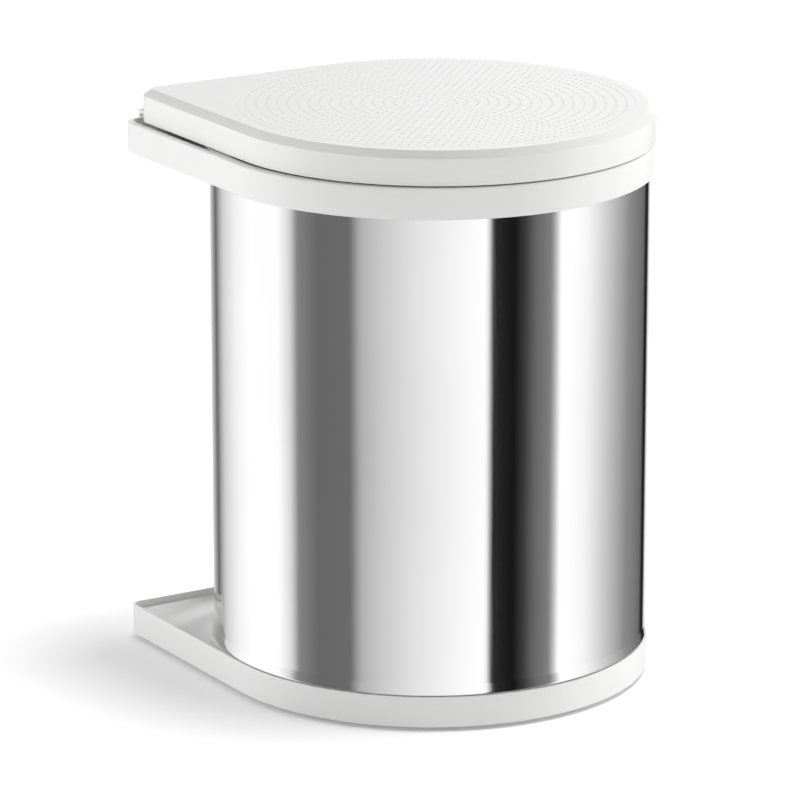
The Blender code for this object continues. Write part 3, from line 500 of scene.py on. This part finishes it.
def lid_top(lid):
    """Replaces the flat top face by one with concentric rings of pips and a shallow step."""
    mesh = bmesh.new()
    mesh.from_mesh(lid.data)
    top = max(mesh.faces, key=lambda face: face.calc_center_median().z * 1000 + face.calc_area())
    rim = [loop.vert for loop in top.loops]
    mesh.faces.remove(top)
    centre = AXIS + Vector((LID_SHIFT, LID_SHIFT, 0))
    points = [vert.co.copy() for vert in rim]
    edges = [(k, (k + 1) % len(rim)) for k in range(len(rim))]
    pip_of = {}

    def add_loop(loop):
        start = len(points)
        points.extend(loop)
        edges.extend((start + k, start + (k + 1) % len(loop)) for k in range(len(loop)))
        return range(start, len(points))

    for offset, drop in ((-STEP_HALF, 0), (0, STEP_DEPTH), (STEP_HALF, 0)):
        add_loop(circle(STEP_RADIUS + offset, LID_FLAT - drop, centre))
    places = [centre]
    for ring in range(1, PIP_RINGS + 1):
        count = PIPS_ADDED * ring
        for k in range(count):
            a = 2 * math.pi * k / count
            places.append(centre + PIP_PITCH * ring * Vector((math.cos(a), math.sin(a), 0)))
    for number, place in enumerate(places):
        for index in add_loop(circle(PIP_RADIUS, LID_FLAT, place, PIP_SIDES)):
            pip_of[index] = number
    flat = [Vector((p.x, p.y)) for p in points]
    _, _, faces, origins, _, _ = delaunay_2d_cdt(flat, edges, [], 0, 1e-7)
    made = {}
    source = [min(origin) for origin in origins]
    for index, origin in enumerate(source):
        made[index] = rim[origin] if origin < len(rim) else mesh.verts.new(points[origin])
    at = {origin: made[index] for index, origin in enumerate(source)}
    for face in faces:
        pips = {pip_of.get(source[k]) for k in face}
        if len(pips) > 1 or None in pips:
            mesh.faces.new([made[k] for k in face])
    first = len(points) - len(places) * PIP_SIDES
    for number, place in enumerate(places):
        below = [at[first + number * PIP_SIDES + k] for k in range(PIP_SIDES)]
        for share, lift in PIP_PROFILE:
            height = LID_FLAT + PIP_HEIGHT * lift
            row = [mesh.verts.new(p) for p in circle(PIP_RADIUS * share, height, place, PIP_SIDES)]
            for k in range(PIP_SIDES):
                after = (k + 1) % PIP_SIDES
                mesh.faces.new((below[k], below[after], row[after], row[k]))
            below = row
        tip = mesh.verts.new((place.x, place.y, LID_TOP))
        for k in range(PIP_SIDES):
            mesh.faces.new((below[k], below[(k + 1) % PIP_SIDES], tip))
    bmesh.ops.recalc_face_normals(mesh, faces=mesh.faces)
    mesh.to_mesh(lid.data)
    mesh.free()


def lid_screw_places():
    return [sum(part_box(f"lid_screw_{number}"), Vector()) / 2 for number in (1, 2, 3)]


def lid_shell():
    """Shallow corner lid: chamfered edge, hollow below, bosses, and notches for hinge and strap."""
    path = fillet((
        (LID_WALL + LID_CHAMFER_IN, LID_INSIDE, 0),
        (LID_WALL, LID_INSIDE - LID_CHAMFER_UP, 1.5 * MM),
        (LID_WALL, LID_LOW.z, 0.4 * MM),
        (0, LID_LOW.z, 0.5 * MM),
        (0, LID_TOP - LID_CHAMFER_UP, 0.8 * MM),
        (LID_CHAMFER_IN, LID_FLAT, 1.2 * MM),
        (LID_CHAMFER_IN + CAP_STEP, LID_FLAT, 0),
    ))
    lid = solid("lid_shell_moulded", moved_in(LID_OUTLINE, path))
    wall = AXIS.x - LID_SIDE
    hinge_y = (LEAF_LOW.y + LEAF_HIGH.y) / 2
    half = (LEAF_HIGH.y - LEAF_LOW.y) / 2 + EAR_GAP
    across = hinge_y + half - LID_SHIFT
    inside = AXIS.x + LID_SHIFT - math.sqrt((LID_RADIUS - LID_WALL) ** 2 - across**2) + SEAT
    hinge = block((wall - PAST, hinge_y - half, LID_LOW.z - PAST), (inside, hinge_y + half, LEAF_HIGH.z))
    strap = block(
        (wall - PAST, STRAP_LOW.y - STRAP_NOTCH_SIDE, LID_LOW.z - PAST),
        (wall + LID_WALL + SEAT, PIVOT.y + STRAP_NOTCH_END, STRAP_HIGH.z + STRAP_NOTCH_TOP),
    )
    cut(lid, hinge, strap)
    root = (LID_INSIDE + LID_FLAT) / 2
    leaf_top = (LEAF_LOW.z + LEAF_HIGH.z) / 2 + LEAF_PLATE_RISE
    bosses = [turned(((LID_BOSS, leaf_top), (LID_BOSS, root)), p, HOLE_SIDES) for p in lid_screw_places()]
    socket_foot = LID_INSIDE - SOCKET_DEPTH
    join(lid, *bosses, turned(((SOCKET, socket_foot), (SOCKET, root)), FOLLOWER, HOLE_SIDES))
    holes = [
        turned(((LID_SCREW_HOLE, leaf_top - PAST), (LID_SCREW_HOLE, LID_INSIDE - SEAT)), p, HOLE_SIDES)
        for p in lid_screw_places()
    ]
    bore = (FOLLOWER_HIGH.x - FOLLOWER_LOW.x) / 2 + SEAT
    peg = turned(((bore, socket_foot - PAST), (bore, LID_INSIDE - SEAT)), FOLLOWER, HOLE_SIDES)
    cut(lid, *holes, peg)
    settle(lid)
    lid_top(lid)
    return placed(lid, "lid", "lid_plastic", LID_WHITE, "lid_shell")


# Ring, tray, sleeve and bucket


def top_ring():
    """Corner ring: round-edged rim, groove for the sleeve, ledge for the bucket, corner trough."""
    top, bottom = RING_HIGH.z, RING_LOW.z
    corner_top = top - RING_TROUGH
    corner_bottom = corner_top - DECK
    path = fillet((
        (CAP_IN, bottom, 0),
        (0, bottom, 0.9 * MM),
        (0, top, RING_EDGE),
        (2 * RING_EDGE, top, 0),
    ))
    ring = solid("top_ring_moulded", moved_in(RING_OUTLINE, path))
    inner = SLEEVE_RADIUS - SLEEVE_WALL - GROOVE_SLACK
    ledge_outer = inner - WALL
    ledge_inner = ledge_outer - LEDGE_WIDTH
    ledge = top - LEDGE_DEPTH
    opening = fillet((
        (ledge_outer, bottom - PAST, 0),
        (ledge_outer, ledge - DECK, 0),
        (ledge_inner, ledge - DECK, 0.4 * MM),
        (ledge_inner, ledge, 0.4 * MM),
        (ledge_outer, ledge, 0.3 * MM),
        (ledge_outer, top - 0.5 * MM, 0),
        (ledge_outer + 0.5 * MM + PAST, top + PAST, 0),
    ))
    cut(ring, turned(opening))
    outer = SLEEVE_RADIUS + GROOVE_SLACK
    deep = SLEEVE_HIGH.z + SEAT
    groove = ((inner, bottom - PAST), (outer, bottom - PAST), (outer, deep), (inner, deep))
    cut(ring, turned(groove), ring=True)
    corner_area(ring, RING_OUTLINE, RING_RIM, outer + WALL, corner_top, top + PAST)
    hollow = corner_area(ring, RING_OUTLINE, WALL, outer + WALL, bottom - PAST, corner_bottom)
    cut(hollow, turned(((BOSS_RADIUS, bottom), (BOSS_RADIUS, corner_top)), PIVOT, HOLE_SIDES))
    bores = [turned(((BOSS_BORE, bottom - PAST), (BOSS_BORE, corner_top + PAST)), PIVOT, HOLE_SIDES)]
    for number in (1, 2):
        place = sum(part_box(f"cam_screw_{number}"), Vector()) / 2
        hole = ((LID_SCREW_HOLE, corner_bottom - PAST), (LID_SCREW_HOLE, corner_top + PAST))
        bores.append(turned(hole, place, HOLE_SIDES))
    cut(ring, *bores)
    return placed(settle(ring), "bin", "ring_plastic", RING_WHITE, "top_ring")


def base_tray():
    """Corner tray: rim, recessed deck, seat and spigot for the sleeve, pivot boss below."""
    bottom = TRAY_LOW.z
    deck_bottom = TRAY_DECK - DECK
    path = fillet((
        (CAP_IN, bottom, 0),
        (0, bottom, 0.5 * MM),
        (0, TRAY_TOP, 0.7 * MM),
        (CAP_STEP, TRAY_TOP, 0),
    ))
    tray = solid("base_tray_moulded", moved_in(TRAY_OUTLINE, path))
    spigot = SLEEVE_RADIUS - SLEEVE_WALL - SEAT
    corner_area(tray, TRAY_OUTLINE, TRAY_RIM, TRAY_RADIUS + SEAT, TRAY_DECK, TRAY_TOP + PAST)
    middle = spigot - SPIGOT
    cut(tray, turned(((middle, TRAY_DECK), (middle, TRAY_TOP + PAST))))
    hollow = cut(tray, moved_in(TRAY_OUTLINE, ((WALL, bottom - PAST), (WALL, deck_bottom))))
    boss_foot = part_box("lower_bush")[0].z
    cut(hollow, turned(((BOSS_RADIUS, boss_foot), (BOSS_RADIUS, TRAY_DECK)), PIVOT, HOLE_SIDES))
    cut(tray, turned(((BOSS_BORE, bottom - PAST), (BOSS_BORE, deck_bottom)), PIVOT, HOLE_SIDES))
    collar = fillet((
        (middle, TRAY_DECK - SEAT, 0),
        (spigot, TRAY_DECK - SEAT, 0),
        (spigot, TRAY_HIGH.z, 0.4 * MM),
        (middle, TRAY_HIGH.z, 0.4 * MM),
    ), closed=True)
    join(tray, turned(collar), ring=True)
    return placed(settle(tray), "bin", "tray_plastic", TRAY_WHITE, "base_tray")


def steel_sleeve():
    """Polished sleeve with a foot that flares out a little to a round edge."""
    foot, top = SLEEVE_LOW.z, SLEEVE_HIGH.z
    inner = SLEEVE_RADIUS - SLEEVE_WALL
    edge = SLEEVE_RADIUS + FLARE_OUT
    path = fillet((
        (inner, foot, 0.2 * MM),
        (edge, foot, 0.7 * MM),
        (edge, foot + 1.4 * MM, 1.5 * MM),
        (SLEEVE_RADIUS, foot + FLARE_HEIGHT, 6 * MM),
        (SLEEVE_RADIUS, top, 0.2 * MM),
        (inner, top, 0.2 * MM),
    ), closed=True)
    sleeve = solid("steel_sleeve_rolled", turned(path, sides=SLEEVE_SIDES), ring=True)
    return placed(sleeve, "bin", "polished_steel", STEEL, "steel_sleeve")


def inner_bucket():
    """Tapered bucket that hangs by its rim, with two hand holes."""
    floor, rim_top = BUCKET_LOW.z, BUCKET_HIGH.z
    rim = BUCKET_HIGH.x - AXIS.x
    rim_low = rim_top - BUCKET_RIM
    top = rim - LEDGE_WIDTH
    foot = top - BUCKET_TAPER
    wall = BUCKET_WALL
    path = fillet((
        (POLE, floor, 0),
        (foot - wall, floor, 1.2 * MM),
        (foot, floor + wall, 1.2 * MM),
        (top, rim_low, 0.4 * MM),
        (rim, rim_low, 0.6 * MM),
        (rim, rim_top, 0.6 * MM),
        (top - wall, rim_top, 0.8 * MM),
        (foot - wall, floor + 2 * wall, 1.2 * MM),
        (foot - 2 * wall, floor + wall, 1.2 * MM),
        (POLE, floor + wall, 0),
    ))
    bucket = solid("inner_bucket_moulded", turned(path))
    hole = rounded(GRIP_HEIGHT / 2, GRIP_WIDTH / 2, GRIP_HEIGHT / 2 - SEAT)
    reach = 2 * (top + PAST)
    through = [[Vector((x, y, z)) for x, y in hole] for z in (0, reach)]
    cut(bucket, along(through, AXIS + Vector((top + PAST, 0, rim_low - GRIP_DROP)), (-1, 0, 0)))
    return placed(settle(bucket), "bin", "bucket_plastic", BUCKET_GREY, "inner_bucket")


# Screws


def screw(node, towards, body):
    """Pan-head screw with a cross recess and a threaded shank, in place of a packed screw."""
    low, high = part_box(node)
    towards = Vector(towards)
    size = high - low
    length = abs(size.dot(towards)) - SCREW_HEAD_HEIGHT
    head = max(size[k] for k in (0, 1) if not towards[k]) / 2
    seat = (low + high) / 2 + towards * (SCREW_HEAD_HEIGHT - length) / 2
    path = fillet((
        (0.3 * MM, -SCREW_HEAD_HEIGHT, 0),
        (head * 0.62, -SCREW_HEAD_HEIGHT, 1.2 * MM),
        (head, -SCREW_HEAD_HEIGHT * 0.42, 0.8 * MM),
        (head, 0, 0.15 * MM),
        (SCREW_SHANK, 0, 0),
    ))
    root = SCREW_SHANK - THREAD_DEPTH
    turns = int((length - SCREW_SHANK) / THREAD_PITCH)
    for k in range(turns):
        up = (k + 0.5) * THREAD_PITCH
        path += [(root, up - THREAD_PITCH * 0.3), (SCREW_SHANK, up), (root, up + THREAD_PITCH * 0.3)]
    path += [(root, length - SCREW_SHANK), (SCREW_SHANK * 0.3, length)]
    made = solid(f"{node}_cross", along(turned(path, (0, 0), SCREW_SIDES), seat, towards))
    tapers = ((RECESS_ARM, RECESS_REACH), (RECESS_ARM * 0.5, RECESS_REACH * 0.35))
    cross = [
        [[(-w, -l), (w, -l), (w, l), (-w, l)] for w, l in tapers],
        [[(-l, -w), (l, -w), (l, w), (-l, w)] for w, l in tapers],
    ]
    heights = (-SCREW_HEAD_HEIGHT - 0.1 * MM, RECESS_DEPTH - SCREW_HEAD_HEIGHT)
    for arms in cross:
        levels = [[Vector((x, y, z)) for x, y in level] for level, z in zip(arms, heights)]
        cut(made, along(levels, seat, towards))
    return placed(settle(made), body, "zinc_steel", ZINC, node)


# Sheet parts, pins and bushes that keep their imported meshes


def kept(node, material, width=0.25 * MM):
    """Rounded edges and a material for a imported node."""
    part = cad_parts[node]
    part.data.materials.clear()
    part.data.materials.append(material)
    part.data.shade_smooth()
    part.data.set_sharp_from_angle(angle=math.radians(SHARP_DEG))
    bevel = part.modifiers.new("Edges", "BEVEL")
    bevel.width = width
    bevel.segments = 2
    bevel.limit_method = "ANGLE"
    bevel.angle_limit = math.radians(BEVEL_DEG)
    bevel.harden_normals = True


# Studio

# The camera's place in metres from the bin's axis and the floor, and how it is turned
CAMERA_TURN_DEG = 58.33
CAMERA_DOWN_DEG = 15.80
CAMERA_BACK = 2.9808
CAMERA_ASIDE = -0.0178
CAMERA_UP = 1.0062
CAMERA_LENS = 234.36
CAMERA_SENSOR = 36
FLOOR_SIZE = 12
FLOOR_TONES = ((0.86, 0.86, 0.86), (0.88, 0.88, 0.88))
FLOOR_GLOW = 0.22  # seen by the camera, besides what light falls on the floor
FLOOR_BOUNCE = 0.76  # share of the light that the floor throws back on the bin
# Lights as (strength, spread in degrees, source to the camera's right, away from it and up)
FLOOR_LIGHT = (1.7, 22, (0.24, 0.06, 1.0))
BACK_LIGHT = (1.9, 12, (0.8, 1.0, 0.85))
# Brightness round the horizon as (degrees, value), from the way to the camera towards its right:
# what the gloss shows, a row of tall panels and dark gaps, in units of PANEL_LIGHT
PANELS = (
    (-180, 0.60), (-166, 0.50), (-151, 0.10), (-138, 0.55), (-122, 0.80), (-108, 0.92), (-86, 0.90),
    (-78, 0.62), (-73, 0.20), (-60, 0.12), (-42, 0.13), (-36, 0.40), (-24, 0.54), (-6, 0.70), (14, 0.84),
    (29, 0.92), (32, 0.02), (44, 0.006), (50, 0.04), (56, 0.12), (65, 0.19), (68.5, 0.50), (71, 0.95),
    (88, 0.84), (102, 0.58), (113, 0.40), (126, 0.23), (148, 0.12), (152, 0.01), (158, 0.01), (162, 0.60),
    (180, 0.90),
)
PANEL_LIGHT = 1.35
# What lights the matt surfaces, in units of SIDE_LIGHT
SIDES = (
    (-180, 0.26), (-150, 0.24), (-120, 0.40), (-95, 0.74), (-70, 0.80), (-50, 0.22), (-25, 0.03),
    (25, 0.03), (45, 0.18), (65, 0.86), (90, 0.92), (118, 0.45), (145, 0.30), (180, 0.26),
)
SIDE_LIGHT = 4.6
# The side light fades to OVERHEAD between these heights on a sphere of radius 1
FADE_FROM = 0.3
FADE_TO = 0.7
OVERHEAD = 0.05


def camera():
    """The camera fitted to the photograph, without lens shift."""
    turn = math.radians(CAMERA_TURN_DEG)
    data = bpy.data.cameras.new("camera")
    data.lens = CAMERA_LENS
    data.sensor_width = CAMERA_SENSOR
    data.clip_end = 50
    made = bpy.data.objects.new("camera", data)
    made.location = Matrix.Rotation(turn, 3, "Z") @ Vector((CAMERA_ASIDE, -CAMERA_BACK, CAMERA_UP)) + AXIS
    made.rotation_euler = (math.pi / 2 - math.radians(CAMERA_DOWN_DEG), 0, turn)
    bpy.context.scene.collection.objects.link(made)
    bpy.context.scene.camera = made


def horizon(tree, angle, values):
    """A value that changes round the horizon."""
    share = tree.nodes.new("ShaderNodeMapRange")
    share.inputs["From Min"].default_value = -math.pi
    share.inputs["From Max"].default_value = math.pi
    tree.links.new(angle, share.inputs["Value"])
    ramp = tree.nodes.new("ShaderNodeValToRGB")
    stops = ramp.color_ramp.elements
    while len(stops) < len(values):
        stops.new(0.5)
    for stop, (degrees, bright) in zip(stops, values):
        stop.position = (degrees + 180) / 360
        stop.color = (bright, bright, bright, 1)
    tree.links.new(share.outputs["Result"], ramp.inputs["Fac"])
    return ramp.outputs["Color"]


def sky():
    """White to the camera, a row of panels to the gloss, and soft side light to the matt surfaces."""
    world = bpy.data.worlds.new("studio")
    bpy.context.scene.world = world
    world.use_nodes = True
    tree = world.node_tree
    glossy = tree.nodes["Background"]
    glossy.inputs["Strength"].default_value = PANEL_LIGHT
    place = tree.nodes.new("ShaderNodeTexCoord").outputs["Generated"]
    to_camera = tree.nodes.new("ShaderNodeVectorRotate")
    to_camera.rotation_type = "Z_AXIS"
    to_camera.inputs["Angle"].default_value = math.pi / 2 - math.radians(CAMERA_TURN_DEG)
    tree.links.new(place, to_camera.inputs["Vector"])
    split = tree.nodes.new("ShaderNodeSeparateXYZ")
    tree.links.new(to_camera.outputs["Vector"], split.inputs["Vector"])
    angle = tree.nodes.new("ShaderNodeMath")
    angle.operation = "ARCTAN2"
    tree.links.new(split.outputs["Y"], angle.inputs[0])
    tree.links.new(split.outputs["X"], angle.inputs[1])
    tree.links.new(horizon(tree, angle.outputs["Value"], PANELS), glossy.inputs["Color"])
    overhead = tree.nodes.new("ShaderNodeMapRange")
    overhead.inputs["From Min"].default_value = FADE_FROM
    overhead.inputs["From Max"].default_value = FADE_TO
    tree.links.new(split.outputs["Z"], overhead.inputs["Value"])
    mix = tree.nodes.new("ShaderNodeMix")
    mix.data_type = "RGBA"
    mix.inputs["B"].default_value = (OVERHEAD, OVERHEAD, OVERHEAD, 1)
    tree.links.new(overhead.outputs["Result"], mix.inputs["Factor"])
    tree.links.new(horizon(tree, angle.outputs["Value"], SIDES), mix.inputs["A"])
    matt = tree.nodes.new("ShaderNodeBackground")
    matt.inputs["Strength"].default_value = SIDE_LIGHT
    tree.links.new(mix.outputs["Result"], matt.inputs["Color"])
    white = tree.nodes.new("ShaderNodeBackground")
    path = tree.nodes.new("ShaderNodeLightPath")
    below = glossy.outputs[0]
    for ray, light in (("Is Diffuse Ray", matt), ("Is Camera Ray", white)):
        choose = tree.nodes.new("ShaderNodeMixShader")
        tree.links.new(path.outputs[ray], choose.inputs[0])
        tree.links.new(below, choose.inputs[1])
        tree.links.new(light.outputs[0], choose.inputs[2])
        below = choose.outputs[0]
    tree.links.new(below, tree.nodes["World Output"].inputs["Surface"])


def sun(name, strength, spread_deg, source, lit):
    """Soft parallel light from source, as (right, away, up) from the camera, on the lit objects only."""
    data = bpy.data.lights.new(name, "SUN")
    data.energy = strength
    data.angle = math.radians(spread_deg)
    made = bpy.data.objects.new(name, data)
    turn = Matrix.Rotation(math.radians(CAMERA_TURN_DEG), 3, "Z")
    made.rotation_euler = (turn @ Vector(source)).to_track_quat("Z", "Y").to_euler()
    made.visible_glossy = False
    bpy.context.scene.collection.objects.link(made)
    receivers = bpy.data.collections.new("lit_by_" + name)
    for target in lit:
        receivers.objects.link(target)
    made.light_linking.receiver_collection = receivers


def lights(ground, mouldings):
    """One light for the floor's shadow, and one from behind for the top faces of the white mouldings."""
    sun("floor_light", *FLOOR_LIGHT, [ground])
    sun("back_light", *BACK_LIGHT, mouldings)


def floor():
    """Pale floor that glows a little to the camera, like a photographer's light table."""
    half = FLOOR_SIZE / 2
    mesh = bmesh.new()
    corners = [mesh.verts.new((x * half, y * half, 0)) for x, y in ((-1, -1), (1, -1), (1, 1), (-1, 1))]
    mesh.faces.new(corners)
    made = bpy.data.objects.new("floor", bpy.data.meshes.new("floor"))
    mesh.to_mesh(made.data)
    mesh.free()
    bpy.context.scene.collection.objects.link(made)
    m = Nodes("floor", 0.9)
    m.colours(m.noise(3, 2), *FLOOR_TONES)
    m.shader.inputs["Emission Color"].default_value = (1, 1, 1, 1)
    m.shader.inputs["Emission Strength"].default_value = FLOOR_GLOW
    m.shader.inputs["Specular IOR Level"].default_value = 0
    dim = m.add("ShaderNodeBsdfDiffuse")
    dim.inputs["Color"].default_value = (FLOOR_BOUNCE, FLOOR_BOUNCE, FLOOR_BOUNCE, 1)
    seen = m.add("ShaderNodeLightPath").outputs["Is Camera Ray"]
    choose = m.add("ShaderNodeMixShader")
    m.link(seen, choose.inputs[0])
    m.link(dim.outputs[0], choose.inputs[1])
    m.link(m.shader.outputs[0], choose.inputs[2])
    m.link(choose.outputs[0], m.tree.nodes["Material Output"].inputs["Surface"])
    made.data.materials.append(m.material)
    made.visible_glossy = False
    return made


def build():
    """Every piece, then the studio."""
    mouldings = [lid_shell(), top_ring(), base_tray()]
    steel_sleeve()
    inner_bucket()
    for number in range(1, 5):
        screw(f"arm_screw_{number}", (-1, 0, 0), "bracket")
    for number in (1, 2):
        screw(f"hinge_screw_{number}", (-1, 0, 0), "bracket")
        screw(f"cam_screw_{number}", (0, 0, -1), "bin")
    for number in (1, 2, 3):
        screw(f"lid_screw_{number}", (0, 0, 1), "lid")
    for node in ("wall_plate", "upper_arm", "lower_arm", "lid_hinge_bracket", "lid_hinge_leaf"):
        kept(node, COATED)
    for node in ("lid_hinge_pin", "upper_pivot_pin", "lower_pivot_pin", "pivot_clip"):
        kept(node, ZINC, 0.15 * MM)
    for node in ("thrust_washer", "upper_bush", "lower_bush", "lift_cam", "cam_follower"):
        kept(node, NYLON, 0.2 * MM)
    bpy.context.scene.view_settings.view_transform = "Standard"
    sky()
    lights(floor(), mouldings)
    camera()


build()
